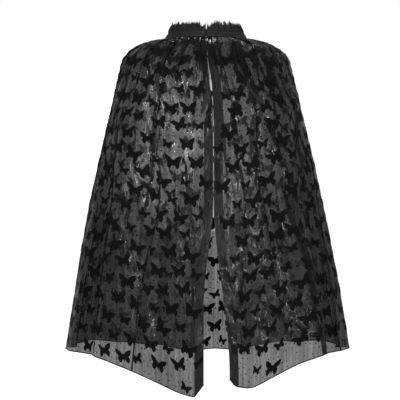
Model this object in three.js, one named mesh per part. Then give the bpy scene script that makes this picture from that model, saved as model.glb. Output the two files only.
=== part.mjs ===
// A short sheer masquerade cape: a back panel and two front panels gathered into a narrow neckband that
// carries a stand ruffle and closes at the front with a hook and eye. Millimetres, +Z up. The wearer faces -Y
// and +X is the wearer's left. The origin is the centre of the neck opening, level with the lower edge of the
// neckband.
import * as THREE from "three";

const { clamp, degToRad, lerp, smoothstep } = THREE.MathUtils;

// Neck opening and neckband
const NECK_HALF_WIDTH = 102;
const NECK_HALF_DEPTH = 82;
const BAND_HEIGHT = 12;
const BAND_LEAN = 0.5; // how far the neckband and ruffle lean in for each millimetre that they rise
const BAND_THICKNESS = 1;
const BAND_END_GAP = 3; // between the two ends, at centre front
const LAYER_GAP = 0.3; // between cloth layers that touch on the real cape
const SEAT_GAP = 0.3; // between the neckband and the panels gathered into it

// Stand ruffle
const RUFFLE_HEIGHT = 25; // above the neckband
const RUFFLE_THICKNESS = 0.8;
const RUFFLE_TUCK = 9; // how deep it is caught in the neckband
const PLEAT_DEPTH = 3.5;

// Lengths from neckband to hem
const SIDE_LENGTH = 765;
const FRONT_LENGTH = 860;
const BACK_LENGTH = 796;

// How the cloth falls: it reaches out over a rounded shoulder, chest or back, and flares down to the hem
const SIDE_FALL = { reach: 95, drop: 60, flare: 0.19, belly: 8 };
const FRONT_FALL = { reach: 45, drop: 90, flare: 0.125, belly: 6 };
const BACK_FALL = { reach: 50, drop: 80, flare: 0.12, belly: 6 };
const MIDDLE_SHARE = 0.75; // of the way round to the middle, from where the cloth falls as it does there

// Panels
const CLOTH_THICKNESS = 1.2;
const LAP_CLEARANCE = 0.8; // between a front panel and the back panel under it at the side seam
const SEAM_LAP = 2; // degrees that a front panel laps over the back panel
const EDGE_GAP = 2; // between the two front edges where they hang closed
const FACING_WIDTH = 22;
const FACING_THICKNESS = 1;

// Front opening: the edges hang together down to OPENING_DROP and part below it
const OPENING_DROP = 390;
const OPENING_SWAY = 17; // how far the edges hang to the wearer's left of the middle
const SWAY_DROP = 200;
const RIGHT_EDGE = { part: 23, over: 260 };
const LEFT_EDGE = { part: 37, over: 420 };

// Each front swings about an upright line at its side of the neck
const SWING = 35; // degrees
const SWING_MARGIN = 5;

// Hook and eye
const WIRE_RADIUS = 0.4;
const WIRE_GAP = 0.3;
const HOOK_LENGTH = 9;
const EYE_HALF_WIDTH = 2;
const SEWING_LOOP = 1.8;

// Mesh steps
const SECTOR_STEPS = 8;
const REST_STEPS = 9;
const FIXED_ROWS = 14;
const HEM_ROWS = 3;
const FIXED_DROP = 600;
const ROW_POWER = 1.8;
const BAND_STEPS = 49;

const RIGHT = -1;
const LEFT = 1;
const LAP = CLOTH_THICKNESS + LAP_CLEARANCE;
const SECTOR = SWING + SWING_MARGIN;
const PANEL_TOP = SEAT_GAP + LAP / 2 + CLOTH_THICKNESS / 2;
const NECK_NOTCH = LAYER_GAP / 2 + RUFFLE_THICKNESS + LAYER_GAP + BAND_THICKNESS / 4;

function cloth(color, roughness) {
  return new THREE.MeshStandardMaterial({ color, roughness, metalness: 0, side: THREE.DoubleSide });
}

const organza = cloth(0x202024, 0.45);
const facing = cloth(0x101012, 0.6);
const ribbon = cloth(0x26262c, 0.55);
const net = cloth(0x17171a, 0.75);
const blackWire = new THREE.MeshStandardMaterial({ color: 0x1a1a1a, roughness: 0.35, metalness: 0.9 });

// Turns a geometry's triangles over if they face inwards.
function facingOut(geometry) {
  const { position } = geometry.attributes;
  const index = geometry.index.array;
  const [a, b, c] = [new THREE.Vector3(), new THREE.Vector3(), new THREE.Vector3()];
  let volume = 0;
  for (let i = 0; i < index.length; i += 3) {
    a.fromBufferAttribute(position, index[i]);
    b.fromBufferAttribute(position, index[i + 1]);
    c.fromBufferAttribute(position, index[i + 2]);
    volume += a.dot(b.cross(c));
  }
  if (volume < 0) {
    index.reverse();
  }
  geometry.computeVertexNormals();
  return geometry;
}

// A closed sheet with a thickness. place(column, row, face) gives a point, with face 1 outside and -1 inside.
function shell(columns, rows, place) {
  const points = [];
  const triangles = [];
  const layer = (columns + 1) * (rows + 1);
  const at = (column, row, face) => (face > 0 ? 0 : layer) + row * (columns + 1) + column;
  const quad = (a, b, c, d) => triangles.push(a, b, c, a, c, d);
  for (const face of [1, -1]) {
    for (let row = 0; row <= rows; row++) {
      for (let column = 0; column <= columns; column++) {
        points.push(...place(column, row, face).toArray());
      }
    }
  }
  for (let row = 0; row < rows; row++) {
    for (let column = 0; column < columns; column++) {
      const corners = [[column, row], [column + 1, row], [column + 1, row + 1], [column, row + 1]];
      const [a, b, c, d] = corners.map(([i, j]) => at(i, j, 1));
      quad(a, b, c, d);
      quad(a + layer, d + layer, c + layer, b + layer);
    }
  }
  for (let row = 0; row < rows; row++) {
    quad(at(0, row, 1), at(0, row + 1, 1), at(0, row + 1, -1), at(0, row, -1));
    quad(at(columns, row, 1), at(columns, row, -1), at(columns, row + 1, -1), at(columns, row + 1, 1));
  }
  for (let column = 0; column < columns; column++) {
    quad(at(column, 0, 1), at(column, 0, -1), at(column + 1, 0, -1), at(column + 1, 0, 1));
    quad(at(column, rows, 1), at(column + 1, rows, 1), at(column + 1, rows, -1), at(column, rows, -1));
  }
  const geometry = new THREE.BufferGeometry();
  geometry.setAttribute("position", new THREE.Float32BufferAttribute(points, 3));
  geometry.setIndex(triangles);
  return facingOut(geometry);
}

// How far out the cloth is at this drop below the neckband.
function reachOf(fall, drop) {
  const shoulder = Math.sqrt(1 - (1 - clamp(drop / fall.drop, 0, 1)) ** 2);
  return fall.reach * shoulder + fall.flare * drop + fall.belly * Math.sin((Math.PI * drop) / SIDE_LENGTH);
}

// A point on a quarter of the cape, with x and y positive. around is the angle from the side seam, as a share
// of the sector that turns about the hinge line. rest is the share of the way on from there to the middle.
function drape(end, around, rest, drop, lift) {
  const azimuth = degToRad(lerp(SECTOR * around, 90, rest));
  const along = (rest * Math.PI) / 2;
  const blend = smoothstep(rest, 0, MIDDLE_SHARE);
  const reach = (at) => lerp(reachOf(SIDE_FALL, at), reachOf(end, at), blend);
  const step = 0.01;
  const slope = (reach(drop + step) - reach(drop)) / step;
  const length = Math.hypot(1, slope);
  const out = NECK_NOTCH + reach(drop) + lift / length;
  return new THREE.Vector3(
    NECK_HALF_WIDTH * Math.cos(along) + out * Math.cos(azimuth),
    NECK_HALF_DEPTH * Math.sin(along) + out * Math.sin(azimuth),
    (lift * slope) / length - PANEL_TOP - drop,
  );
}

// Rows lie at the same drops on every panel down to FIXED_DROP, and are then shared out down to the hem.
function dropAt(row, rest, length) {
  if (row <= FIXED_ROWS) {
    return FIXED_DROP * (row / FIXED_ROWS) ** ROW_POWER;
  }
  const hem = lerp(SIDE_LENGTH, length, smoothstep(rest, 0, 1)) - PANEL_TOP;
  return lerp(FIXED_DROP, hem, (row - FIXED_ROWS) / HEM_ROWS);
}

function backPanel() {
  const half = SECTOR_STEPS + REST_STEPS;
  return shell(2 * half, FIXED_ROWS + HEM_ROWS, (column, row, face) => {
    const side = column <= half ? RIGHT : LEFT;
    const steps = Math.min(column, 2 * half - column);
    const around = Math.min(steps / SECTOR_STEPS, 1);
    const rest = Math.max(steps - SECTOR_STEPS, 0) / REST_STEPS;
    const under = lerp(-LAP / 2, LAP / 2, smoothstep(rest, 0, 0.5));
    const lift = under + (face * CLOTH_THICKNESS) / 2;
    const point = drape(BACK_FALL, around, rest, dropAt(row, rest, BACK_LENGTH), lift);
    point.x *= side;
    return point;
  });
}

// The last column of cells on a front panel is as wide as the facing behind it.
function facingStart(drop) {
  const turn = degToRad(90 - SECTOR) * (NECK_NOTCH + reachOf(FRONT_FALL, drop));
  return 1 - FACING_WIDTH / ((NECK_HALF_WIDTH * Math.PI) / 2 + turn);
}

// A point on a front, where the front edge hangs off the middle and parts from the other one lower down.
function frontPoint(side, edge, around, rest, row, lift) {
  const drop = dropAt(row, rest, FRONT_LENGTH);
  const point = drape(FRONT_FALL, around, rest, drop, lift);
  const sway = OPENING_SWAY * smoothstep(drop, 0, SWAY_DROP);
  const part = edge.part * smoothstep(drop, OPENING_DROP, OPENING_DROP + edge.over);
  point.x = side * point.x + rest ** 2 * (sway + side * (EDGE_GAP / 2 + part));
  point.y *= -1;
  return point;
}

function frontPanel(side, edge) {
  return shell(SECTOR_STEPS + REST_STEPS, FIXED_ROWS + HEM_ROWS, (column, row, face) => {
    const around = Math.min(column / SECTOR_STEPS, 1) - (column === 0 ? SEAM_LAP / SECTOR : 0);
    const step = Math.max(column - SECTOR_STEPS, 0);
    const inner = facingStart(dropAt(row, 1, FRONT_LENGTH));
    const rest = step === REST_STEPS ? 1 : (inner * step) / (REST_STEPS - 1);
    return frontPoint(side, edge, around, rest, row, LAP / 2 + (face * CLOTH_THICKNESS) / 2);
  });
}

function frontFacing(side, edge) {
  const lift = LAP / 2 - CLOTH_THICKNESS / 2 - LAYER_GAP - FACING_THICKNESS / 2;
  return shell(1, FIXED_ROWS + HEM_ROWS, (column, row, face) => {
    const rest = column === 1 ? 1 : facingStart(dropAt(row, 1, FRONT_LENGTH));
    return frontPoint(side, edge, 1, rest, row, lift + (face * FACING_THICKNESS) / 2);
  });
}

// A point on the leaning neck oval. step counts from one front end of the neckband to the other.
function neckPoint(step, out, height) {
  const gap = Math.asin(BAND_END_GAP / 2 / NECK_HALF_WIDTH);
  const angle = lerp(gap, 2 * Math.PI - gap, step / BAND_STEPS);
  const oval = new THREE.Vector2(NECK_HALF_WIDTH * Math.sin(angle), -NECK_HALF_DEPTH * Math.cos(angle));
  const normal = new THREE.Vector2(NECK_HALF_DEPTH * Math.sin(angle), -NECK_HALF_WIDTH * Math.cos(angle));
  oval.multiplyScalar(1 - (BAND_LEAN * height) / NECK_HALF_WIDTH).addScaledVector(normal.normalize(), out);
  return new THREE.Vector3(oval.x, oval.y, height);
}

function bandStrip(side) {
  const middle = LAYER_GAP / 2 + RUFFLE_THICKNESS + LAYER_GAP + BAND_THICKNESS / 2;
  return shell(BAND_STEPS, 1, (column, row, face) => {
    return neckPoint(column, side * middle + (face * BAND_THICKNESS) / 2, row * BAND_HEIGHT);
  });
}

// One layer of the ruffle: flat where the neckband holds it and in sharp pleats above.
function ruffle(side) {
  const middle = (LAYER_GAP + RUFFLE_THICKNESS) / 2;
  const risen = [-RUFFLE_TUCK, 0, RUFFLE_HEIGHT / 3, RUFFLE_HEIGHT];
  const heights = risen.map((rise) => BAND_HEIGHT + rise);
  const opened = [0, 0, 0.6, 1];
  return shell(2 * BAND_STEPS, heights.length - 1, (column, row, face) => {
    const fold = column % 2 ? PLEAT_DEPTH * opened[row] : 0;
    const out = side * (middle + fold) + (face * RUFFLE_THICKNESS) / 2;
    const [before, after] = [Math.floor(column / 2), Math.ceil(column / 2)];
    return neckPoint(before, out, heights[row]).lerp(neckPoint(after, out, heights[row]), 0.5);
  });
}

// Round wire along a path, with 8 sides.
function wire(points) {
  const circle = new THREE.Shape().absarc(0, 0, WIRE_RADIUS, 0, 2 * Math.PI);
  const extrudePath = new THREE.CatmullRomCurve3(points, false, "catmullrom", 0.5);
  const steps = 4 * points.length;
  return new THREE.ExtrudeGeometry(circle, { steps, curveSegments: 2, bevelEnabled: false, extrudePath });
}

// The wire lies on the inside of the neckband. away is measured from the face of the inner strip.
function fasteningPoint(x, away, up) {
  const inner = -(LAYER_GAP / 2 + RUFFLE_THICKNESS + LAYER_GAP + BAND_THICKNESS);
  const height = BAND_HEIGHT / 2 + up;
  const shrink = 1 - (BAND_LEAN * height) / NECK_HALF_WIDTH;
  const chord = NECK_HALF_DEPTH * Math.sqrt(1 - (x / NECK_HALF_WIDTH) ** 2);
  return new THREE.Vector3(x, -(chord * shrink + inner) + away, height);
}

function sewingLoop(x, away, up, start, turn) {
  const points = [];
  for (let i = 0; i <= 8; i++) {
    const angle = start + (turn * i) / 8;
    points.push(fasteningPoint(x + SEWING_LOOP * Math.cos(angle), away, up + SEWING_LOOP * Math.sin(angle)));
  }
  return points;
}

const WIRE_SEAT = WIRE_RADIUS + WIRE_GAP;
const EYE_RISE = WIRE_SEAT + 2 * WIRE_RADIUS + WIRE_GAP;
const BILL_RISE = EYE_RISE + 2 * WIRE_RADIUS + WIRE_GAP;

function neckHook() {
  const reach = BAND_END_GAP / 2 - 0.5;
  const bend = BILL_RISE - EYE_RISE;
  return wire([
    ...sewingLoop(-HOOK_LENGTH, WIRE_SEAT, SEWING_LOOP, 1.75 * Math.PI, -1.25 * Math.PI).reverse(),
    fasteningPoint(-HOOK_LENGTH / 2, WIRE_SEAT, 0),
    fasteningPoint(reach, WIRE_SEAT, 0),
    fasteningPoint(reach + bend, EYE_RISE, 0),
    fasteningPoint(reach, BILL_RISE, 0),
    fasteningPoint(-BAND_END_GAP, BILL_RISE, 0),
  ]);
}

function neckEye() {
  const tip = -BAND_END_GAP / 2 - 0.5;
  const half = [
    fasteningPoint(HOOK_LENGTH / 2, WIRE_SEAT, EYE_HALF_WIDTH),
    fasteningPoint(BAND_END_GAP, lerp(WIRE_SEAT, EYE_RISE, 0.6), EYE_HALF_WIDTH),
    fasteningPoint(0, EYE_RISE, EYE_HALF_WIDTH * 0.95),
    fasteningPoint(tip + 0.4, EYE_RISE, EYE_HALF_WIDTH * 0.6),
  ];
  const mirrored = half.map((point) => point.clone().setZ(BAND_HEIGHT - point.z)).reverse();
  return wire([...half, fasteningPoint(tip, EYE_RISE, 0), ...mirrored]);
}

function named(name, geometry, material) {
  const mesh = new THREE.Mesh(geometry, material);
  mesh.name = name;
  return mesh;
}

// A front hangs on a pivot at its side of the neck.
function frontHalf(side, word, edge) {
  const pivot = new THREE.Group();
  pivot.position.x = side * NECK_HALF_WIDTH;
  const shapes = [
    named(`${word}_front_panel`, frontPanel(side, edge), organza),
    named(`${word}_front_facing`, frontFacing(side, edge), facing),
  ];
  for (const mesh of shapes) {
    mesh.position.x = -pivot.position.x;
    pivot.add(mesh);
  }
  return pivot;
}

const cape = new THREE.Group();
cape.add(
  named("back_panel", backPanel(), organza),
  named("neckband_outer", bandStrip(1), ribbon),
  named("neckband_inner", bandStrip(-1), ribbon),
  named("ruffle_outer", ruffle(1), net),
  named("ruffle_inner", ruffle(-1), net),
  named("neck_hook", neckHook(), blackWire),
  named("neck_eye", neckEye(), blackWire),
  frontHalf(RIGHT, "right", RIGHT_EDGE),
  frontHalf(LEFT, "left", LEFT_EDGE),
);

export default cape;
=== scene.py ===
"""The looks of the sheer butterfly cape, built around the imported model. Metres, +Z up, front towards -Y."""
import math

import bpy
import numpy as np
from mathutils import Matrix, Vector


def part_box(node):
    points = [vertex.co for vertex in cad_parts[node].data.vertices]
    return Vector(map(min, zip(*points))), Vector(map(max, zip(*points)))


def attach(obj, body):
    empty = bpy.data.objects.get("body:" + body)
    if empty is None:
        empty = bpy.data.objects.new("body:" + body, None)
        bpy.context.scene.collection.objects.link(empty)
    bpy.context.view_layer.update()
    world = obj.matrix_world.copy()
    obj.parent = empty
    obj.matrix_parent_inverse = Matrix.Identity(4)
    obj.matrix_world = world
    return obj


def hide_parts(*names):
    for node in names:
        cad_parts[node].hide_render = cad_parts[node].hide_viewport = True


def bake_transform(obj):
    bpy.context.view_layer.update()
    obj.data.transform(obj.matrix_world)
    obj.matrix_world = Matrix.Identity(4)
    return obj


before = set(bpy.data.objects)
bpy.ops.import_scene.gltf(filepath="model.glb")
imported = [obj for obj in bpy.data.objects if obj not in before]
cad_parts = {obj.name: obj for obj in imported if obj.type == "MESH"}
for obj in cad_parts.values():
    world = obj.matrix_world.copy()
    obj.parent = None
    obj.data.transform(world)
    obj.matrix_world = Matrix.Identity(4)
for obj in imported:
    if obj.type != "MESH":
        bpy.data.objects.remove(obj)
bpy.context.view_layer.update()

NECK = "neck_and_back"

# ---------------------------------------------------------------- sizes
# The cloth hangs where the CAD panels do, so these repeat the falls that the panels were made with.
NECK_HALF_WIDTH = 0.102
NECK_HALF_DEPTH = 0.082
# The neckband's height, how far it leans in per metre up, where its outer face is, and how far the cloth is
# tucked up into it
BAND_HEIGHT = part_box("neckband_outer")[1][2]
BAND_LEAN = 0.5
BAND_OUT = 0.00225
SEAM_TUCK = 0.004
# Where the hung cloth starts, and how long it is at the side seams, the front edges and the centre back
CLOTH_TOP = -0.0019
SIDE_LENGTH = 0.765
FRONT_LENGTH = -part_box("right_front_panel")[0][2]
BACK_LENGTH = -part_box("back_panel")[0][2]
# How the cloth falls: how far out the shoulder goes and in what drop, the flare per metre, and the belly
SIDE_FALL = (0.095, 0.060, 0.19, 0.008)
FRONT_FALL = (0.045, 0.090, 0.125, 0.006)
BACK_FALL = (0.050, 0.080, 0.12, 0.006)
# Seen from above: how much of the way to the middle the side's fall takes to die out, the sector that fans
# out from the side of the neck, its share of a quarter, and how far outside the neck the cloth starts
MIDDLE_SHARE = 0.75
SECTOR = math.radians(40)
SECTOR_SHARE = 0.35
NECK_NOTCH = 0.0015
# The front opening: the drop at which it starts to part, how far it hangs to the wearer's left and in what
# drop it gets there, and how far and over what drop each edge parts
OPENING_DROP = 0.390
OPENING_SWAY = 0.017
SWAY_DROP = 0.200
RIGHT_EDGE = (0.023, 0.260)
LEFT_EDGE = (0.037, 0.420)
# The front edges all but meet above the opening, apart from one short slit that the gathers pull open: how
# far each edge draws back, at what drop, and over what length
EDGE_GAP = 0.0006
SLIT = (0.002, 0.115, 0.035)
FACING_WIDTH = 0.022

# Flat widths of cloth in a quarter of the cape, at the neckband and at the hem, and the length between them
NECK_CLOTH = 0.375
HEM_CLOTH = 0.535
WIDENS_OVER = 0.86

# Folds: how many are gathered into the neckband and how many hang lower down, how tight a fold's edges are,
# how far a fold wanders on its way down, over what part of a quarter the cloth beside a fold settles back,
# what share of a fold's depth is kept at the neckband and below it, and how finely the folds are worked out
GATHERS, LOW_FOLDS = 26, 20
FOLD_BEND = 0.0018
FOLD_DRIFT = 0.03
FOLD_SETTLE = 0.07
FOLD_KEPT = (0.15, 0.8)
FINE, FOLD_ROWS = 900, 130
# The most cloth that each fold of a quarter can take up, how often that range is halved to find the right
# width, and how far from a front edge the cloth is held flat
WIDEST_FOLD, HALVINGS, EDGE_HOLD = 0.08, 11, 0.02
# Waves on top of the folds: how far out each goes, and how many lie in a quarter or how long one is
BROAD_WAVE, BROAD_COUNT = 0.011, 2.6
NARROW_WAVE, NARROW_COUNT = 0.005, 5.3
CREASE, CREASE_PITCH = 0.0005, 0.021
GATHER_RIPPLE, GATHER_COUNT = 0.0012, 19
CRUSH = 0.0007


def smoothstep(x, low, high):
    t = np.clip((x - low) / (high - low), 0, 1)
    return t * t * (3 - 2 * t)


def lerp(a, b, t):
    return a + (b - a) * t


# ---------------------------------------------------------------- where the smooth cloth hangs
def reach(fall, drop):
    """How far out the cloth is at this drop below the neckband."""
    out, shoulder_drop, flare, belly = fall
    shoulder = np.sqrt(1 - (1 - np.clip(drop / shoulder_drop, 0, 1)) ** 2)
    return out * shoulder + flare * drop + belly * np.sin(np.pi * np.clip(drop / SIDE_LENGTH, 0, 1))


def hang(q, v):
    """A point of the smooth cloth. q runs round from the right front edge, 0, over the right side seam, 1,
    the centre back, 2, and the left side seam, 3, to the left front edge, 4. v runs from neckband to hem."""
    front = (q < 1) | (q > 3)
    side = np.where(q < 2, -1.0, 1.0)
    t = np.where(q < 2, np.abs(q - 1), np.abs(q - 3))
    around = np.clip(t / SECTOR_SHARE, 0, 1)
    rest = np.clip((t - SECTOR_SHARE) / (1 - SECTOR_SHARE), 0, 1)
    length = np.where(front, FRONT_LENGTH, BACK_LENGTH)
    drop = lerp(SIDE_LENGTH, length, smoothstep(rest, 0, 1)) * v ** 1.5
    azimuth = lerp(SECTOR * around, math.pi / 2, rest)
    along = rest * math.pi / 2
    blend = smoothstep(rest, 0, MIDDLE_SHARE)
    middle = np.where(front, reach(FRONT_FALL, drop), reach(BACK_FALL, drop))
    out = NECK_NOTCH + lerp(reach(SIDE_FALL, drop), middle, blend)
    x = NECK_HALF_WIDTH * np.cos(along) + out * np.cos(azimuth)
    y = NECK_HALF_DEPTH * np.sin(along) + out * np.sin(azimuth)
    part, over = np.where(q < 2, RIGHT_EDGE[0], LEFT_EDGE[0]), np.where(q < 2, RIGHT_EDGE[1], LEFT_EDGE[1])
    slit = SLIT[0] * np.exp(-(((drop - SLIT[1]) / SLIT[2]) ** 2))
    parted = EDGE_GAP / 2 + slit + part * smoothstep(drop, OPENING_DROP, OPENING_DROP + over)
    sway = OPENING_SWAY * smoothstep(drop, 0, SWAY_DROP)
    x = side * x + np.where(front, rest ** 2 * (sway + side * parted), 0)
    return np.stack([x, np.where(front, -y, y), CLOTH_TOP - drop], axis=-1)


# Rows of the smooth grid, and columns in each quarter
ROWS, QUARTER = 260, 150


def smooth_cloth():
    """The smooth cloth as a grid in which each quarter's columns are evenly spaced along each row, its
    outward normals, and how much cloth lies above each point."""
    v = np.linspace(0, 1, ROWS + 1)
    dense = np.linspace(0, 1, 4 * QUARTER + 1)
    even = np.linspace(0, 1, QUARTER + 1)
    quarters = []
    for quarter in range(4):
        q = np.clip(quarter + dense, quarter + 1e-6, quarter + 1 - 1e-6)
        points = hang(q[:, None], v[None, :])
        steps = np.linalg.norm(np.diff(points, axis=0), axis=2)
        travelled = np.concatenate([np.zeros((1, ROWS + 1)), np.cumsum(steps, axis=0)])
        travelled /= travelled[-1]
        rows = [
            np.stack([np.interp(even, travelled[:, j], points[:, j, k]) for k in range(3)], axis=-1)
            for j in range(ROWS + 1)
        ]
        quarters.append(np.stack(rows, axis=1)[: QUARTER + (quarter == 3)])
    grid = np.concatenate(quarters)
    across, down = np.gradient(grid, axis=0), np.gradient(grid, axis=1)
    normal = np.cross(across, down)
    normal /= np.linalg.norm(normal, axis=2, keepdims=True)
    normal *= np.sign(np.sum(normal[QUARTER * 2, ROWS // 2] * [0, 1, 0]))
    cloth = np.linalg.norm(np.diff(grid, axis=1), axis=2)
    return grid, normal, np.concatenate([np.zeros((len(grid), 1)), np.cumsum(cloth, axis=1)], axis=1)


GRID, NORMAL, ABOVE = smooth_cloth()


def read_table(table, q, v, per_quarter, rows):
    """Reads a table between its points."""
    i, j = np.clip(q, 0, 4) * per_quarter, np.clip(v, 0, 1) * rows
    i0, j0 = np.minimum(i.astype(int), 4 * per_quarter - 1), np.minimum(j.astype(int), rows - 1)
    a, b = i - i0, j - j0
    if table.ndim == 3:
        a, b = a[..., None], b[..., None]
    top = lerp(table[i0, j0], table[i0 + 1, j0], a)
    return lerp(top, lerp(table[i0, j0 + 1], table[i0 + 1, j0 + 1], a), b)


def sample(table, q, v):
    return read_table(table, q, v, QUARTER, ROWS)


# ---------------------------------------------------------------- folds
def waves(x, seed, lowest, highest, count=6):
    """Smooth noise along one line, about -1 to 1."""
    rng = np.random.default_rng(seed)
    turns = rng.uniform(lowest, highest, count)
    phases = rng.uniform(0, 2 * math.pi, count)
    return sum(np.sin(2 * math.pi * n * x + p) for n, p in zip(turns, phases)) / math.sqrt(count)


def make_folds():
    """Each fold's place, share of the spare cloth, which way it lies, and the lengths of cloth below the
    neckband where it starts and has gone. The first are the gathers at the neckband, and the rest hang lower
    down."""
    rng = np.random.default_rng(11)
    folds = []
    for k in range(GATHERS):
        centre = (k + 0.5 + rng.uniform(-0.2, 0.2)) * 4 / GATHERS
        share, way = rng.uniform(0.6, 1.5), rng.choice([-1, 1])
        folds.append((centre, share, way, -0.01, rng.uniform(0.12, 0.55)))
    for k in range(LOW_FOLDS):
        centre = 0.2 + 3.6 * (k + 0.5 + rng.uniform(-0.3, 0.3)) / LOW_FOLDS
        start = rng.uniform(0.08, 0.45)
        share, way = rng.uniform(0.5, 1.3), rng.choice([-1, 1])
        folds.append((centre, share, way, start, start + rng.uniform(0.25, 0.9)))
    return folds


def cloth_width(above):
    """Flat width of a quarter at this length of cloth below the neckband."""
    return lerp(NECK_CLOTH, HEM_CLOTH, np.clip(above / WIDENS_OVER, 0, 1))


def turning(f, above, width, spare):
    """How far each bit of cloth has turned away from the smooth surface, in half turns. Where a fold lies,
    the cloth turns right over and back, so that it runs the other way for the width of the fold."""
    turned = np.zeros(np.broadcast_shapes(f.shape, above.shape))
    for centre, share, way, start, end in FOLDS:
        if start > 0:
            faded = smoothstep(above, start, start + 0.1) * (1 - smoothstep(above, 0.6 * end, end))
        else:
            faded = 1 - smoothstep(above, 0.35 * end, end)
        drift = centre + FOLD_DRIFT * np.sin(above * 5 + centre * 9) * smoothstep(above, 0.02, 0.3)
        x = (f - drift) * width
        half = spare * share * faded / 2
        turned += way * (np.tanh((x + half) / FOLD_BEND) - np.tanh((x - half) / FOLD_BEND)) / 2
    hold = 1 - np.exp(-((np.minimum(f, 4 - f) * width / EDGE_HOLD) ** 2))
    return np.clip(turned * hold, -1, 1)


def fold_tables():
    """Where each point of the flat cloth lies round the smooth surface, and how far out of it. The width of
    the folds is found at each level, so that the cloth is neither stretched nor squeezed."""
    f = np.linspace(0, 4, 4 * FINE + 1)[:, None]
    v = np.linspace(0, 1, FOLD_ROWS + 1)[None, :]
    above = sample(ABOVE, *np.broadcast_arrays(f, v))
    width = cloth_width(above)
    step = width / FINE
    hung = np.linalg.norm(np.diff(GRID, axis=0), axis=2).reshape(4, QUARTER, ROWS + 1).sum(axis=1)
    around, out = np.zeros(above.shape), np.zeros(above.shape)
    for quarter in range(4):
        part = slice(quarter * FINE, (quarter + 1) * FINE + 1)
        arc = np.interp(v[0], np.linspace(0, 1, ROWS + 1), hung[quarter])
        low, high = np.zeros(FOLD_ROWS + 1), np.full(FOLD_ROWS + 1, WIDEST_FOLD)
        for _ in range(HALVINGS):
            spare = (low + high) / 2
            turned = turning(f[part], above[part], width[part], spare[None, :])
            total = (np.cos(math.pi * turned[:-1]) * step[part][:-1]).sum(axis=0)
            low, high = np.where(total > arc, spare, low), np.where(total > arc, high, spare)
        turned = turning(f[part], above[part], width[part], spare[None, :])
        along = np.cumsum(np.cos(math.pi * turned[:-1]) * step[part][:-1], axis=0)
        rise = np.cumsum(np.sin(math.pi * turned[:-1]) * step[part][:-1], axis=0)
        around[part] = quarter + np.concatenate([np.zeros((1, FOLD_ROWS + 1)), along / along[-1]])
        out[part] = np.concatenate([np.zeros((1, FOLD_ROWS + 1)), rise]) + out[quarter * FINE]
    window = int(FINE * FOLD_SETTLE)
    padded = np.pad(out, ((window, window), (0, 0)), mode="edge")
    total = np.cumsum(np.pad(padded, ((1, 0), (0, 0))), axis=0)
    settled = (total[2 * window + 1:] - total[: -2 * window - 1]) / (2 * window + 1)
    return around, out - settled


FOLDS = make_folds()
AROUND, OUT = fold_tables()


def fold_sample(table, f, v):
    return read_table(table, f, v, FINE, FOLD_ROWS)


def place(f, v):
    """Where the gathered cloth lies. f counts quarters of the flat cloth as q does, and v is as in hang."""
    f, v = np.broadcast_arrays(np.asarray(f, float), np.asarray(v, float))
    above = sample(ABOVE, f, v)
    q = fold_sample(AROUND, f, v)
    near_neck = smoothstep(above, 0.0, 0.012)
    lift = fold_sample(OUT, f, v) * lerp(*FOLD_KEPT, near_neck)
    # broad and narrow waves that grow towards the hem and fade at the front edges
    edge = smoothstep(np.minimum(f, 4 - f), 0.0, 0.35)
    grown = edge * smoothstep(above, 0.1, 0.75)
    turn = 2 * math.pi * BROAD_COUNT * f + 0.8 * waves(f, 3, 0.2, 0.6) + 0.5 * above
    lift += grown * BROAD_WAVE * np.sin(turn)
    lift += grown * NARROW_WAVE * np.sin(2 * math.pi * NARROW_COUNT * f + 1.7 + 1.2 * waves(f, 5, 0.3, 0.9))
    # creases that run round the shoulders
    shoulder = np.exp(-((np.abs(f - 2) - 1) / 0.45) ** 2)
    shoulder *= smoothstep(above, 0.01, 0.05) * (1 - smoothstep(above, 0.16, 0.3))
    lift += shoulder * CREASE * np.sin(2 * math.pi * above / CREASE_PITCH + 2.2 * waves(f, 7, 0.8, 2.6))
    # fine gathers just below the neckband, and a slight crush all over
    gathers = np.exp(-above / 0.05) * near_neck
    lift += gathers * GATHER_RIPPLE * np.sin(2 * math.pi * GATHER_COUNT * f + 2.5 * waves(f, 17, 1.5, 5))
    crush = near_neck * (0.35 + 0.65 * edge)
    lift += crush * CRUSH * waves(f + 0.9 * above, 9, 7, 16) * waves(above + 0.05 * f, 13, 6, 20)
    return sample(GRID, q, v) + sample(NORMAL, q, v) * lift[..., None]


def place_with_normal(f, v):
    """The same, and which way the cloth faces there."""
    step_f, step_v = 0.002, 0.0015
    at = place(f, v)
    across = place(f + step_f, v) - place(f - step_f, v)
    down = place(f, v + step_v) - place(f, v - step_v)
    normal = np.cross(across, down)
    normal /= np.maximum(np.linalg.norm(normal, axis=-1, keepdims=True), 1e-12)
    return at, normal * SIGN


def find_sign():
    """Whether the cross products above point outward, as tried at the centre back."""
    a, b = place(np.array([2.0]), np.array([0.5])), place(np.array([2.01]), np.array([0.5]))
    c = place(np.array([2.0]), np.array([0.51]))
    return float(np.sign(np.cross(b - a, c - a)[0, 1]))


SIGN = find_sign()


def row_at(f, above):
    """v at which this length of cloth lies above a point in column f."""
    i = int(round(min(max(f, 0), 4) * QUARTER))
    return float(np.interp(above, ABOVE[i], np.linspace(0, 1, ROWS + 1)))


# ---------------------------------------------------------------- mesh helpers
def new_object(name, vertices, faces, material, smooth=True):
    mesh = bpy.data.meshes.new(name)
    mesh.from_pydata([tuple(p) for p in vertices], [], faces)
    mesh.materials.append(material)
    if smooth:
        mesh.polygons.foreach_set("use_smooth", [True] * len(mesh.polygons))
    mesh.update()
    obj = bpy.data.objects.new(name, mesh)
    bpy.context.scene.collection.objects.link(obj)
    return obj


def grid_faces(columns, rows):
    """Faces of a grid whose points are listed column by column."""
    return [
        (i * rows + j, (i + 1) * rows + j, (i + 1) * rows + j + 1, i * rows + j + 1)
        for i in range(columns - 1)
        for j in range(rows - 1)
    ]


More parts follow.
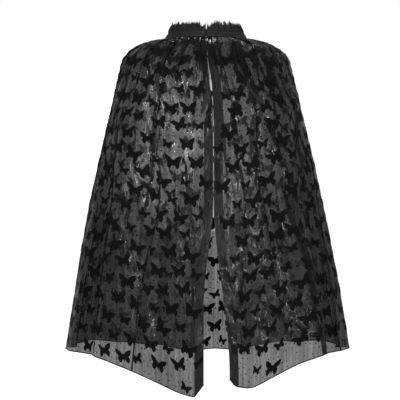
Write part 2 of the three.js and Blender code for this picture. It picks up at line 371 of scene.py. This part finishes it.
def tube_faces(rings, sides):
    """Faces of a tube whose rings of points are listed one after another, closed at both ends."""
    faces = []
    for i in range(rings - 1):
        for j in range(sides):
            k = (j + 1) % sides
            faces.append((i * sides + j, i * sides + k, (i + 1) * sides + k, (i + 1) * sides + j))
    faces.append(tuple(range(sides))[::-1])
    faces.append(tuple((rings - 1) * sides + j for j in range(sides)))
    return faces


def tube(points, radius, sides=6):
    """Vertices and faces of a round tube along points."""
    points = np.asarray(points, float)
    tangent = np.gradient(points, axis=0)
    tangent /= np.linalg.norm(tangent, axis=1, keepdims=True)
    up = np.array([0.0, 0.0, 1.0])
    if abs(tangent[:, 2]).mean() > 0.7:
        up = np.array([0.0, 1.0, 0.0])
    side = np.cross(tangent, up)
    side /= np.maximum(np.linalg.norm(side, axis=1, keepdims=True), 1e-9)
    other = np.cross(side, tangent)
    angle = np.arange(sides) * 2 * math.pi / sides
    ring = side[:, None] * np.cos(angle)[None, :, None] + other[:, None] * np.sin(angle)[None, :, None]
    vertices = points[:, None] + ring * radius
    return vertices.reshape(-1, 3), tube_faces(len(points), sides)


class Pile:
    """Collects vertices and faces of many small shapes into one mesh."""

    def __init__(self):
        self.vertices, self.faces, self.count = [], [], 0

    def add(self, vertices, faces):
        self.vertices.append(np.asarray(vertices))
        self.faces += [tuple(i + self.count for i in face) for face in faces]
        self.count += len(vertices)

    def object(self, name, material, smooth=True):
        return new_object(name, np.concatenate(self.vertices), self.faces, material, smooth=smooth)


# ---------------------------------------------------------------- materials
class Nodes:
    """A material's node tree, with short calls."""

    def __init__(self, name):
        self.material = bpy.data.materials.new(name)
        self.material.use_nodes = True
        self.tree = self.material.node_tree
        self.shader = self.tree.nodes["Principled BSDF"]

    def node(self, kind, inputs=(), **settings):
        made = self.tree.nodes.new(kind)
        for key, value in settings.items():
            setattr(made, key, value)
        for key, value in dict(inputs).items():
            self.put(made.inputs[key], value)
        return made

    def put(self, socket, value):
        if isinstance(value, bpy.types.NodeSocket):
            self.tree.links.new(value, socket)
        else:
            socket.default_value = value

    def math(self, operation, a, b=0.0, clamp=False):
        return self.node("ShaderNodeMath", {0: a, 1: b}, operation=operation, use_clamp=clamp).outputs[0]

    def noise(self, vector, scale, detail=3.0):
        inputs = {"Vector": vector, "Scale": scale, "Detail": detail}
        return self.node("ShaderNodeTexNoise", inputs).outputs[0]

    def stretched_noise(self, vector, stretch, scale, detail=3.0):
        mapped = self.node("ShaderNodeMapping", {"Vector": vector, "Scale": stretch}).outputs[0]
        return self.noise(mapped, scale, detail)

    def uv(self):
        return self.node("ShaderNodeTexCoord").outputs["UV"]

    def object(self):
        return self.node("ShaderNodeTexCoord").outputs["Object"]

    def spread(self, value, low, high, to_low, to_high):
        inputs = {0: value, 1: low, 2: high, 3: to_low, 4: to_high}
        return self.node("ShaderNodeMapRange", inputs).outputs[0]

    def mix(self, factor, a, b):
        made = self.node("ShaderNodeMix", data_type="RGBA")
        self.put(made.inputs[0], factor)
        self.put(made.inputs[6], a)
        self.put(made.inputs[7], b)
        return made.outputs[2]

    def bump(self, height, strength, distance, before=None):
        inputs = {"Height": height, "Strength": strength, "Distance": distance}
        if before is not None:
            inputs["Normal"] = before
        return self.node("ShaderNodeBump", inputs).outputs[0]

    def finish(self, **values):
        for name, value in values.items():
            self.put(self.shader.inputs[name.replace("_", " ").title().replace("Ior", "IOR")], value)
        return self.material


# Threads per metre, coarser than real ones so that they show
ORGANZA_THREADS, FACING_THREADS, NET_THREADS = 550, 420, 480
# How solid the organza and the net are, from the gaps between threads to the threads
ORGANZA_SOLID, NET_SOLID = (0.80, 0.91), (0.72, 0.98)


def grey(value):
    return (value, value, value, 1)


def weave(nodes, vector, per_metre):
    """Crossing threads on a flat map in metres, 0 between threads and 1 on them."""
    separate = nodes.node("ShaderNodeSeparateXYZ", {0: vector})
    found = []
    for axis in (0, 1):
        turns = nodes.math("MULTIPLY", separate.outputs[axis], per_metre * 2 * math.pi)
        found.append(nodes.math("ABSOLUTE", nodes.math("SINE", turns)))
    return nodes.math("MAXIMUM", found[0], found[1])


def organza_material():
    """Sheer glossy black cloth: fine threads with gaps between them, crinkled so that it glints."""
    n = Nodes("organza")
    flat = n.uv()
    mesh = weave(n, flat, ORGANZA_THREADS)
    cloudy = n.noise(flat, 9.0, 4.0)
    streaks = n.stretched_noise(flat, (160, 4, 1), 1.0)
    crinkle = n.stretched_noise(flat, (1, 0.30, 1), 75.0, 1.5)
    shiny = n.stretched_noise(flat, (1, 0.4, 1), 22.0)
    colour = n.mix(cloudy, (0.0030, 0.0029, 0.0036, 1), (0.0080, 0.0077, 0.0094, 1))
    solid = n.spread(mesh, 0.55, 1.0, *ORGANZA_SOLID)
    solid = n.math("ADD", solid, n.spread(streaks, 0.3, 0.7, -0.05, 0.05))
    solid = n.math("ADD", solid, n.spread(cloudy, 0.3, 0.7, -0.04, 0.04), clamp=True)
    normal = n.bump(mesh, 0.25, 0.0002, n.bump(crinkle, 0.8, 0.006))
    return n.finish(
        base_color=colour,
        roughness=n.spread(shiny, 0.44, 0.54, 0.50, 0.10),
        alpha=solid,
        normal=normal,
        specular_ior_level=0.16,
    )


def flock_material():
    """Short velvet pile, blacker than the cloth that it is on."""
    n = Nodes("flock")
    at = n.object()
    pile = n.noise(at, 2600.0, 2.0)
    patches = n.noise(at, 140.0, 3.0)
    return n.finish(
        base_color=n.mix(patches, (0.0015, 0.0015, 0.0018, 1), (0.0045, 0.0043, 0.0050, 1)),
        roughness=n.spread(pile, 0.3, 0.7, 0.82, 0.98),
        normal=n.bump(pile, 0.7, 0.0004),
        specular_ior_level=0.08,
        sheen_weight=0.01,
        sheen_roughness=0.35,
    )


def facing_material():
    """Opaque matt black cloth."""
    n = Nodes("facing")
    flat = n.uv()
    ribs = weave(n, flat, FACING_THREADS)
    worn = n.noise(flat, 30.0, 4.0)
    return n.finish(
        base_color=n.mix(worn, (0.0012, 0.0012, 0.0015, 1), (0.0034, 0.0033, 0.0040, 1)),
        roughness=n.spread(worn, 0.3, 0.7, 0.6, 0.8),
        normal=n.bump(ribs, 0.5, 0.0003),
        specular_ior_level=0.05,
    )


def ribbon_material():
    """Smooth black strip with a fine grain round the neck."""
    n = Nodes("ribbon")
    at = n.object()
    grain = n.stretched_noise(at, (1, 1, 6), 300.0)
    cloudy = n.noise(at, 45.0, 3.0)
    return n.finish(
        base_color=n.mix(cloudy, (0.0050, 0.0048, 0.0062, 1), (0.0120, 0.0115, 0.0150, 1)),
        roughness=n.spread(grain, 0.3, 0.7, 0.42, 0.62),
        normal=n.bump(grain, 0.35, 0.0006),
        specular_ior_level=0.2,
        sheen_weight=0.02,
        sheen_roughness=0.4,
    )


def net_material():
    """Pleated net, almost closed where its crimps stack up."""
    n = Nodes("net")
    flat = n.uv()
    mesh = weave(n, flat, NET_THREADS)
    cloudy = n.noise(flat, 60.0, 3.0)
    return n.finish(
        base_color=n.mix(cloudy, (0.005, 0.0052, 0.0055, 1), (0.014, 0.0145, 0.014, 1)),
        roughness=n.spread(cloudy, 0.3, 0.7, 0.45, 0.75),
        alpha=n.spread(mesh, 0.5, 1.0, *NET_SOLID),
        normal=n.bump(mesh, 0.4, 0.0003),
        specular_ior_level=0.15,
        sheen_weight=0.02,
        sheen_roughness=0.35,
    )


def thread_material():
    """Twisted black sewing thread."""
    n = Nodes("thread")
    twist = n.noise(n.object(), 3000.0, 2.0)
    return n.finish(
        base_color=n.mix(twist, (0.004, 0.004, 0.005, 1), (0.018, 0.018, 0.021, 1)),
        roughness=0.55,
        normal=n.bump(twist, 0.5, 0.0002),
    )


def wire_material():
    """Black lacquered wire, worn bright in places."""
    n = Nodes("black_wire")
    worn = n.noise(n.object(), 900.0, 4.0)
    return n.finish(
        base_color=n.mix(n.spread(worn, 0.55, 0.7, 0, 1), (0.008, 0.008, 0.008, 1), (0.10, 0.095, 0.085, 1)),
        roughness=n.spread(worn, 0.3, 0.7, 0.25, 0.45),
        metallic=0.8,
        normal=n.bump(worn, 0.2, 0.0002),
    )


ORGANZA = organza_material()
FLOCK = flock_material()
FACING = facing_material()
RIBBON = ribbon_material()
NET = net_material()
THREAD = thread_material()
WIRE = wire_material()


def set_uv(obj, flat):
    """Gives each corner its vertex's flat place, in metres."""
    layer = obj.data.uv_layers.new(name="flat")
    corners = np.empty(len(obj.data.loops), int)
    obj.data.loops.foreach_get("vertex_index", corners)
    layer.data.foreach_set("uv", np.asarray(flat, float)[corners].ravel())


# ---------------------------------------------------------------- cloth pieces
# Each panel's span in quarters of the cloth, and the body that carries it
PANELS = {
    "right_front": (0.0, 1.0, "right_front"),
    "left_front": (3.0, 4.0, "left_front"),
    "back": (1.0, 3.0, NECK),
}
COLUMNS_IN_QUARTER, CLOTH_ROWS = 270, 170
FACING_COLUMNS, FACING_BEHIND = 7, 0.0007
HEM_STEPS, HEM_RADIUS = 150, 0.0015
# How much is missing at the two lower front corners, as a share of v, and how far round the left one's
# cuts reach
RIGHT_CUT, LEFT_CUTS = 0.024, ((0.021, 0.084), (0.011, 0.016))


def corner_cut(f, v):
    """The right front's lower corner is cut off at a slant across its facing. The left one hangs a little
    higher and is round."""
    slant = np.clip(1 - f * HEM_CLOTH / FACING_WIDTH, 0, 1)
    cut = RIGHT_CUT * slant + sum(share * np.exp(-((4 - f) / reaches) ** 2) for share, reaches in LEFT_CUTS)
    return v - cut * smoothstep(v, 0.8, 1.0)


def panel_points(low, high):
    """A panel's points as it hangs and in the flat, and how many columns of them there are."""
    count = int(round((high - low) * COLUMNS_IN_QUARTER)) + 1
    f, v = np.meshgrid(np.linspace(low, high, count), np.linspace(0, 1, CLOTH_ROWS + 1), indexing="ij")
    at = place(f, corner_cut(f, v))
    above = sample(ABOVE, f, v)
    flat = np.stack([(f - round((low + high) / 2)) * cloth_width(above), -above], axis=-1)
    return tucked(at), tucked(flat, flat[:, :1] + [0, SEAM_TUCK]), count


def tucked(points, top=None):
    """Adds a row above the cloth, where its edge is sewn in between the two strips of the neckband."""
    if top is None:
        edge = points[:, :1]
        inward = 1 - BAND_OUT / np.linalg.norm(edge[..., :2], axis=-1, keepdims=True)
        top = np.concatenate([edge[..., :2] * inward, np.full(edge[..., 2:].shape, SEAM_TUCK)], axis=-1)
    return np.concatenate([top, points], axis=1)


def join_to(obj, body):
    """Hangs a piece of the back on the neck's body; a front's piece keeps its place, baked into its mesh."""
    if body == NECK:
        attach(obj, NECK)
        return
    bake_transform(obj)


def make_panel(word):
    low, high, _ = PANELS[word]
    points, flat, count = panel_points(low, high)
    obj = new_object(f"{word}_cloth", points.reshape(-1, 3), grid_faces(count, CLOTH_ROWS + 2), ORGANZA)
    set_uv(obj, flat.reshape(-1, 2))
    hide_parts(f"{word}_panel")
    return obj


def make_facing(word):
    """The strip on the inside of a front edge."""
    edge, turn = (0.0, 1) if word == "right_front" else (4.0, -1)
    v = np.linspace(0, 1, CLOTH_ROWS + 1)
    width = FACING_WIDTH / cloth_width(sample(ABOVE, np.full(v.shape, edge), v))
    f = edge + turn * np.linspace(0, 1, FACING_COLUMNS)[:, None] * width
    rows = np.broadcast_to(v, f.shape)
    at, normal = place_with_normal(f, corner_cut(f, rows))
    at = at - normal * FACING_BEHIND
    flat = np.stack([f * NECK_CLOTH, -np.broadcast_to(sample(ABOVE, f, rows), f.shape)], axis=-1)
    at, flat = tucked(at), tucked(flat, flat[:, :1] + [0, SEAM_TUCK])
    faces = grid_faces(FACING_COLUMNS, CLOTH_ROWS + 2)
    obj = new_object(f"{word}_facing_strip", at.reshape(-1, 3), faces, FACING)
    set_uv(obj, flat.reshape(-1, 2))
    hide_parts(f"{word}_facing")
    return obj


def make_hem(word):
    """The rolled hem along the bottom of a panel."""
    low, high, _ = PANELS[word]
    f = np.linspace(low, high, int(round((high - low) * HEM_STEPS)) + 1)
    at = place(f, corner_cut(f, np.ones(f.shape)))
    vertices, faces = tube(at, HEM_RADIUS)
    obj = new_object(f"{word}_hem_roll", vertices, faces, ORGANZA)
    return obj


# ---------------------------------------------------------------- butterflies and dots
# The repeat across and down, how far a motif strays from it, and how far a butterfly is turned
BUTTERFLY_PITCH, BUTTERFLY_JITTER, BUTTERFLY_TURN = (0.050, 0.044), 0.005, 0.45
BIG_BUTTERFLY, SMALL_BUTTERFLY = (0.038, 0.044), (0.025, 0.030)
DOT_PITCH, DOT_JITTER, DOT_RADIUS = (0.0145, 0.0135), 0.0042, (0.0011, 0.0020)
DOTS_KEPT, DOT_SIDES = 0.85, 7
# How much cloth lies above the first row of dots and of butterflies, and a shift that differs between panels,
# so that no row of butterflies runs on across a seam
FIRST_DOTS, FIRST_BUTTERFLIES, PANEL_SHIFT = 0.006, 0.014, 0.0013
# No motif starts further down than this, or comes nearer to an edge than this share of its size
LAST_MOTIF, MOTIF_MARGIN = 0.99, 0.42
# How far the flocking stands off the cloth, and how near a motif its cloth is measured
FLOCK_LIFT, NEARBY = 0.0006, 0.01


def butterfly_shape():
    """A plain butterfly one unit across: its outline in rings about the middle, and two feelers."""
    half = [
        (0.0, 0.17), (0.05, 0.15), (0.17, 0.30), (0.34, 0.40), (0.50, 0.43),
        (0.485, 0.27), (0.42, 0.13), (0.31, 0.03), (0.37, -0.07), (0.36, -0.20),
        (0.29, -0.31), (0.20, -0.35), (0.13, -0.24), (0.06, -0.13), (0.0, -0.26),
    ]
    feelers = [[0.01, 0.16], [0.03, 0.15], [0.13, 0.37], [-0.03, 0.15], [-0.01, 0.16], [-0.13, 0.37]]
    outline = np.array(half + [(-x, y) for x, y in half[-2:0:-1]])
    count = len(outline)
    points = np.concatenate([[[0, 0]], outline * 0.5, outline, feelers])
    faces = []
    for i in range(count):
        j = (i + 1) % count
        faces.append((0, 1 + j, 1 + i))
        faces.append((1 + i, 1 + j, 1 + count + j, 1 + count + i))
    start = 1 + 2 * count
    return points, faces + [(start, start + 1, start + 2), (start + 3, start + 4, start + 5)]


def dot_shape():
    angle = np.arange(DOT_SIDES) * 2 * math.pi / DOT_SIDES
    points = np.concatenate([[[0, 0]], np.stack([np.cos(angle), np.sin(angle)], axis=1)])
    return points, [(0, 1 + i, 1 + (i + 1) % DOT_SIDES) for i in range(DOT_SIDES)]


def motif_places(low, high, pitch, seed, jitter, start):
    """Places of a repeat on the flat cloth, with every other row moved half a step along, and each one's
    column and row in the repeat."""
    pitch_x, pitch_y = pitch
    rng = np.random.default_rng(seed)
    places = []
    row = 0
    while start + row * pitch_y < LAST_MOTIF:
        above = start + row * pitch_y
        half = (high - low) / 2 * cloth_width(above)
        count = int(half / pitch_x) + 1
        for k in range(-count, count + 1):
            x = (k + (0.5 if row % 2 else 0.0)) * pitch_x
            spot = np.array([x, above]) + rng.uniform(-jitter, jitter, 2)
            places.append((spot[0], spot[1], k, row))
        row += 1
    return places


def add_motif(batch, shape, low, high, x, above, size, turn):
    """Puts one motif down, unless it would cross the edge of its panel."""
    width = float(cloth_width(above))
    f = (low + high) / 2 + x / width
    margin = MOTIF_MARGIN * size
    if f < low + margin / width or f > high - margin / width or above < SEAM_TUCK:
        return
    i = int(round(f * QUARTER))
    if above > ABOVE[i, -1] - margin:
        return
    batch.append((shape, f, row_at(f, above), above, width, size, turn))


def place_motifs(batch, shapes):
    """All motifs of one batch as vertices and faces on the cloth."""
    f_all, v_all, faces, count = [], [], [], 0
    for kind, f, v, above, width, size, turn in batch:
        points, own_faces = shapes[kind]
        c, s = math.cos(turn), math.sin(turn)
        dx = (points[:, 0] * c - points[:, 1] * s) * size
        dy = (points[:, 0] * s + points[:, 1] * c) * size
        i = int(round(f * QUARTER))
        v_step = np.interp([above - NEARBY, above + NEARBY], ABOVE[i], np.linspace(0, 1, ROWS + 1))
        per_metre = (v_step[1] - v_step[0]) / (2 * NEARBY)
        f_all.append(f + dx / width)
        v_all.append(v - dy * per_metre)
        faces += [tuple(k + count for k in face) for face in own_faces]
        count += len(points)
    f_all, v_all = np.concatenate(f_all), np.concatenate(v_all)
    at, normal = place_with_normal(f_all, corner_cut(f_all, np.clip(v_all, 0, 1)))
    return at + normal * FLOCK_LIFT, faces


def make_flocking(word, seed):
    """All the butterflies and dots of a panel."""
    low, high, _ = PANELS[word]
    rng = np.random.default_rng(seed)
    shapes = {"butterfly": butterfly_shape(), "dot": dot_shape()}
    batch = []
    start = FIRST_BUTTERFLIES + PANEL_SHIFT * (seed % 29)
    for x, above, k, row in motif_places(low, high, BUTTERFLY_PITCH, seed, BUTTERFLY_JITTER, start):
        big = (k + row // 2) % 3 != 1
        size = rng.uniform(*(BIG_BUTTERFLY if big else SMALL_BUTTERFLY))
        turn = rng.uniform(-BUTTERFLY_TURN, BUTTERFLY_TURN)
        add_motif(batch, "butterfly", low, high, x, above, size, turn)
    for x, above, _, _ in motif_places(low, high, DOT_PITCH, seed + 1, DOT_JITTER, FIRST_DOTS):
        size = rng.uniform(*DOT_RADIUS)
        if rng.random() < DOTS_KEPT:
            add_motif(batch, "dot", low, high, x, above, size, 0.0)
    vertices, faces = place_motifs(batch, shapes)
    obj = new_object(f"{word}_flocking", vertices, faces, FLOCK)
    return obj


# ---------------------------------------------------------------- neckband and ruffle
def neck_point(angle, out, height):
    """A point on the leaning neck oval. angle is 0 at centre front and grows to the wearer's left."""
    lean = 1 - BAND_LEAN * height / NECK_HALF_WIDTH
    x, y = NECK_HALF_WIDTH * np.sin(angle), -NECK_HALF_DEPTH * np.cos(angle)
    nx, ny = NECK_HALF_DEPTH * np.sin(angle), -NECK_HALF_WIDTH * np.cos(angle)
    long = np.hypot(nx, ny)
    height = height + 0 * angle
    return np.stack([x * lean + nx / long * out, y * lean + ny / long * out, height], axis=-1)


# Half the gap in the neckband and the ruffle at the centre front, as a width and as an angle
HALF_GAP = 0.0015
BAND_GAP = math.asin(HALF_GAP / NECK_HALF_WIDTH)
# The angle that counts as once round for the noise on them
ONCE_ROUND = 6.28
# Each strip of the band: columns, thickness, how far its middle is from the seam, and how far it ripples
BAND_COLUMNS, BAND_THICKNESS, BAND_MIDDLE, BAND_RIPPLE = 361, 0.001, 0.00175, 0.00022
# The stitches, and how far their two rows are off the band's face and from its lower and upper edges
STITCH_PITCH, STITCH_LENGTH, STITCH_BOW, STITCH_RADIUS = 0.0036, 0.0025, 0.00028, 0.00028
STITCH_LIFT, LOWER_ROW, UPPER_ROW = 0.0001, 0.0016, 0.0014
PLEATS, PLEAT_COLUMNS, RUFFLE_ROWS = 132, 6, 12
PLEAT_DEPTH, PLEAT_SWAY = 0.0024, 0.35 * 0.0022
# The ruffle's cut edge: its coarse and fine tufts, and the angle at which it dips and over which that fades
COARSE_TUFT, FINE_TUFT, DIP_AT, DIP_FADES = 0.0030, 0.0022, 0.10, 0.07
# The ruffle: how far it is sewn into the band, its height above it, how far its edge dips beside the front
# gap, and the flat length of its cloth from foot to edge
RUFFLE_SEAM, RUFFLE_HEIGHT, RUFFLE_DIP, RUFFLE_LENGTH = 0.006, 0.0225, 0.010, 0.032


def round_neck(angle, seed, lowest, highest):
    """Smooth noise round the neck, the same at every height."""
    return waves(angle / ONCE_ROUND, seed, lowest, highest)


def make_band(name, node, middle):
    """A strip of the neckband with rounded upper and lower edges."""
    angle = np.linspace(BAND_GAP, 2 * math.pi - BAND_GAP, BAND_COLUMNS)
    ripple = BAND_RIPPLE * round_neck(angle, 21, 18, 60)
    half = BAND_THICKNESS / 2
    section = []
    for turn in np.linspace(0, math.pi, 6):
        section.append((half * math.cos(turn), BAND_HEIGHT - half + half * math.sin(turn)))
    for step in np.linspace(0.8, 0.2, 4):
        section.append((-half, BAND_HEIGHT * step))
    for turn in np.linspace(math.pi, 2 * math.pi, 6):
        section.append((half * math.cos(turn), half + half * math.sin(turn)))
    for step in np.linspace(0.2, 0.8, 4):
        section.append((half, BAND_HEIGHT * step))
    columns = np.stack([neck_point(angle, middle + out + ripple, height) for out, height in section], axis=1)
    obj = new_object(name, columns.reshape(-1, 3), tube_faces(BAND_COLUMNS, len(section)), RIBBON)
    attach(obj, NECK)
    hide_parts(node)
    return obj


def make_stitches(name, out, height, seed):
    """A row of stitches along the neckband."""
    rng = np.random.default_rng(seed)
    pile = Pile()
    perimeter = 2 * math.pi * math.sqrt((NECK_HALF_WIDTH ** 2 + NECK_HALF_DEPTH ** 2) / 2)
    for k in range(int(perimeter / STITCH_PITCH) - 2):
        start = BAND_GAP + (k + 0.8) * 2 * math.pi * STITCH_PITCH / perimeter
        angle = start + np.linspace(0, 1, 5) * 2 * math.pi * STITCH_LENGTH / perimeter
        high = height + rng.uniform(-0.0002, 0.0002) + np.zeros(5)
        bow = STITCH_BOW * np.sin(np.linspace(0, math.pi, 5))
        points = np.stack([neck_point(np.array([a]), out + b, h)[0] for a, b, h in zip(angle, bow, high)])
        pile.add(*tube(points, STITCH_RADIUS))
    obj = pile.object(name, THREAD)
    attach(obj, NECK)
    return obj


def ruffle_top(angle, side):
    """How tall the ruffle is here. Its cut edge is uneven and dips beside the front gap."""
    coarse = COARSE_TUFT * round_neck(angle, 31 + side, 14, 40)
    fine = FINE_TUFT * round_neck(angle, 35 + side, 60, 130)
    front = np.exp(-((np.minimum(angle, 2 * math.pi - angle) - DIP_AT) / DIP_FADES) ** 2)
    return RUFFLE_HEIGHT + (coarse + fine) - RUFFLE_DIP * front


def make_ruffle(name, node, side):
    """One layer of the ruffle: crimped into narrow upright pleats that open towards its frayed edge."""
    count = PLEATS * PLEAT_COLUMNS + 1
    angle = np.linspace(BAND_GAP, 2 * math.pi - BAND_GAP, count)
    phase = 2 * math.pi * PLEATS * (angle - angle[0]) / (angle[-1] - angle[0])
    phase = phase + 0.9 * round_neck(angle, 41 + side, 10, 35)
    top = ruffle_top(angle, side)
    rows = []
    for t in np.arange(RUFFLE_ROWS + 1) / RUFFLE_ROWS:
        height = lerp(BAND_HEIGHT - RUFFLE_SEAM, BAND_HEIGHT + top, t)
        opened = smoothstep(height, BAND_HEIGHT, BAND_HEIGHT + 0.012)
        depth = PLEAT_DEPTH * opened * (1 + 0.35 * round_neck(angle, 51, 8, 22))
        out = side * (0.0006 + depth * (0.5 + 0.5 * np.sin(phase)))
        sideways = PLEAT_SWAY * opened * np.sin(2 * phase + 0.7) / NECK_HALF_WIDTH
        rows.append(neck_point(angle + sideways, out, height))
    points = np.stack(rows, axis=1)
    obj = new_object(name, points.reshape(-1, 3), grid_faces(count, RUFFLE_ROWS + 1), NET)
    steps = np.linalg.norm(np.diff(points[:, RUFFLE_ROWS // 2], axis=0), axis=1)
    cloth, height = np.concatenate([[0], np.cumsum(steps)]), np.linspace(0, RUFFLE_LENGTH, RUFFLE_ROWS + 1)
    flat = np.stack(np.meshgrid(cloth, height, indexing="ij"), axis=-1)
    set_uv(obj, flat.reshape(-1, 2))
    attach(obj, NECK)
    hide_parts(node)
    return obj, points[:, -1], cloth[-1]


# Loose threads: how many there can be at each step of the edge, the share left out, how far below the edge
# they start, their length, how far they lean outwards and sideways, how far they bow, and half their width
FRAY_AT_STEP, FRAY_LEFT_OUT, FRAY_FOOT, FRAY_LENGTH = 2, 0.35, 0.0015, (0.002, 0.0085)
FRAY_LEAN_OUT, FRAY_LEAN_ALONG, FRAY_BOW, FRAY_HALF = 0.30, 0.35, 0.12, (0.00018, 0.00034)


def make_fray(name, edge, seed):
    """Loose threads that stand up from a cut edge."""
    rng = np.random.default_rng(seed)
    pile = Pile()
    for k in range(len(edge) - 1):
        for _ in range(FRAY_AT_STEP):
            if rng.random() < FRAY_LEFT_OUT:
                continue
            foot = lerp(edge[k], edge[k + 1], rng.random()) - [0, 0, FRAY_FOOT]
            outward = foot * [1, 1, 0] / np.linalg.norm(foot[:2])
            along = np.cross(outward, [0, 0, 1])
            lean = outward * rng.normal(0, FRAY_LEAN_OUT) + along * rng.normal(0, FRAY_LEAN_ALONG)
            length = rng.uniform(*FRAY_LENGTH)
            tip = foot + (lean * 0.5 + [0, 0, 1]) * length
            middle = (foot + tip) / 2 + lean * length * FRAY_BOW
            half = along * rng.uniform(*FRAY_HALF)
            corners = [foot - half, foot + half, middle + half * 0.8, tip, middle - half * 0.8]
            pile.add(corners, [(0, 1, 2, 4), (4, 2, 3)])
    obj = pile.object(name, NET, smooth=False)
    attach(obj, NECK)
    return obj


# ---------------------------------------------------------------- build
def build_cloth():
    for number, (word, (low, high, body)) in enumerate(PANELS.items()):
        cloth = make_panel(word)
        on_it = [make_hem(word), make_flocking(word, 100 + 10 * number)]
        for piece in [cloth] + on_it:
            join_to(piece, body)
        if body != NECK:
            facing = make_facing(word)
            join_to(facing, body)


def build_neck():
    make_band("neckband_outside", "neckband_outer", BAND_MIDDLE)
    make_band("neckband_inside", "neckband_inner", -BAND_MIDDLE)
    make_stitches("neckband_lower_stitches", BAND_OUT + STITCH_LIFT, LOWER_ROW, 61)
    make_stitches("neckband_upper_stitches", BAND_OUT + STITCH_LIFT, BAND_HEIGHT - UPPER_ROW, 62)
    for name, node, side in (("ruffle_outside", "ruffle_outer", 1), ("ruffle_inside", "ruffle_inner", -1)):
        layer, edge, cloth = make_ruffle(name, node, side)
        fray = make_fray(f"{name}_fray", edge, 70 + side)
    for node in ("neck_hook", "neck_eye"):
        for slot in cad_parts[node].material_slots:
            slot.material = WIRE


build_cloth()
build_neck()


# ---------------------------------------------------------------- floor, light and camera
FLOOR_HALF, FLOOR_LEVEL = 40.0, -1.35
# How bright the surroundings are as a light, and as seen behind the cape
WORLD_LIGHT, WORLD_SEEN = 0.38, 1.0
# Each light's name, place, size and power, and what they all point at
LIGHTS = (
    ("key", (-1.2, -2.8, 0.9), (0.10, 0.45), 50),
    ("fill", (1.5, -2.6, 0.3), (0.08, 0.45), 36),
    ("low", (-0.2, -3.0, -0.2), (0.06, 0.30), 16),
    ("top", (0.2, 0.5, 2.0), (0.6, 0.5), 25),
)
AIM = (0, 0, -0.4)
# The bright pool on the backdrop: its direction from the camera, how far from its middle it starts to fade
# and has gone, and how bright it is
POOL_AT, POOL_FADES, POOL_LIGHT = (-0.006, 1, 0.038), (0.010, 0.088), 5.5


def make_floor():
    n = Nodes("floor")
    fine = n.noise(n.object(), 3.0, 3.0)
    n.finish(base_color=n.mix(fine, grey(0.86), grey(0.90)), roughness=0.9, emission_strength=0.75)
    n.shader.inputs["Emission Color"].default_value = (1, 1, 1, 1)
    corners = [(x * FLOOR_HALF, y * FLOOR_HALF, FLOOR_LEVEL) for x, y in ((-1, -1), (1, -1), (1, 1), (-1, 1))]
    floor = new_object("floor", corners, [(0, 1, 2, 3)], n.material, smooth=False)
    floor.visible_glossy = floor.visible_diffuse = False


def make_world():
    """White, less bright as a light than as seen, with a soft bright pool on the backdrop behind the chest,
    which shines through the cloth."""
    world = bpy.data.worlds.new("studio")
    world.use_nodes = True
    nodes, links = world.node_tree.nodes, world.node_tree.links
    background = nodes["Background"]
    background.inputs[0].default_value = (1.0, 1.0, 1.0, 1)
    seen = nodes.new("ShaderNodeMapRange")
    seen.inputs["To Min"].default_value = WORLD_LIGHT
    links.new(nodes.new("ShaderNodeLightPath").outputs["Is Camera Ray"], seen.inputs["Value"])
    links.new(seen.outputs[0], background.inputs[1])
    away = nodes.new("ShaderNodeVectorMath")
    away.operation = "DISTANCE"
    links.new(nodes.new("ShaderNodeTexCoord").outputs["Generated"], away.inputs[0])
    away.inputs[1].default_value = Vector(POOL_AT).normalized()
    pool = nodes.new("ShaderNodeMapRange")
    pool.interpolation_type = "SMOOTHSTEP"
    limits = ("From Min", "From Max", "To Min", "To Max")
    for name, value in zip(limits, (*POOL_FADES, POOL_LIGHT, WORLD_SEEN)):
        pool.inputs[name].default_value = value
    links.new(away.outputs["Value"], pool.inputs["Value"])
    links.new(pool.outputs[0], seen.inputs["To Max"])
    bpy.context.scene.world = world
    bpy.context.scene.view_settings.view_transform = "Standard"


def make_light(name, at, size, power):
    light = bpy.data.lights.new(name, "AREA")
    light.shape = "RECTANGLE"
    light.size, light.size_y = size
    light.energy = power
    obj = bpy.data.objects.new(name, light)
    bpy.context.scene.collection.objects.link(obj)
    obj.location = at
    obj.rotation_euler = (Vector(AIM) - Vector(at)).to_track_quat("-Z", "Y").to_euler()


def make_camera():
    """Level with the middle of the cape, and far enough away that a metre fills the frame at the neck."""
    distance, frame_width = 3.6, 1.0
    camera = bpy.data.cameras.new("camera")
    camera.sensor_width = 36
    camera.lens = camera.sensor_width * distance / frame_width
    obj = bpy.data.objects.new("camera", camera)
    bpy.context.scene.collection.objects.link(obj)
    obj.location = (-0.015, -distance, -0.40)
    obj.rotation_euler = (math.pi / 2, 0, 0)
    bpy.context.scene.camera = obj


make_floor()
make_world()
for light in LIGHTS:
    make_light(*light)
make_camera()
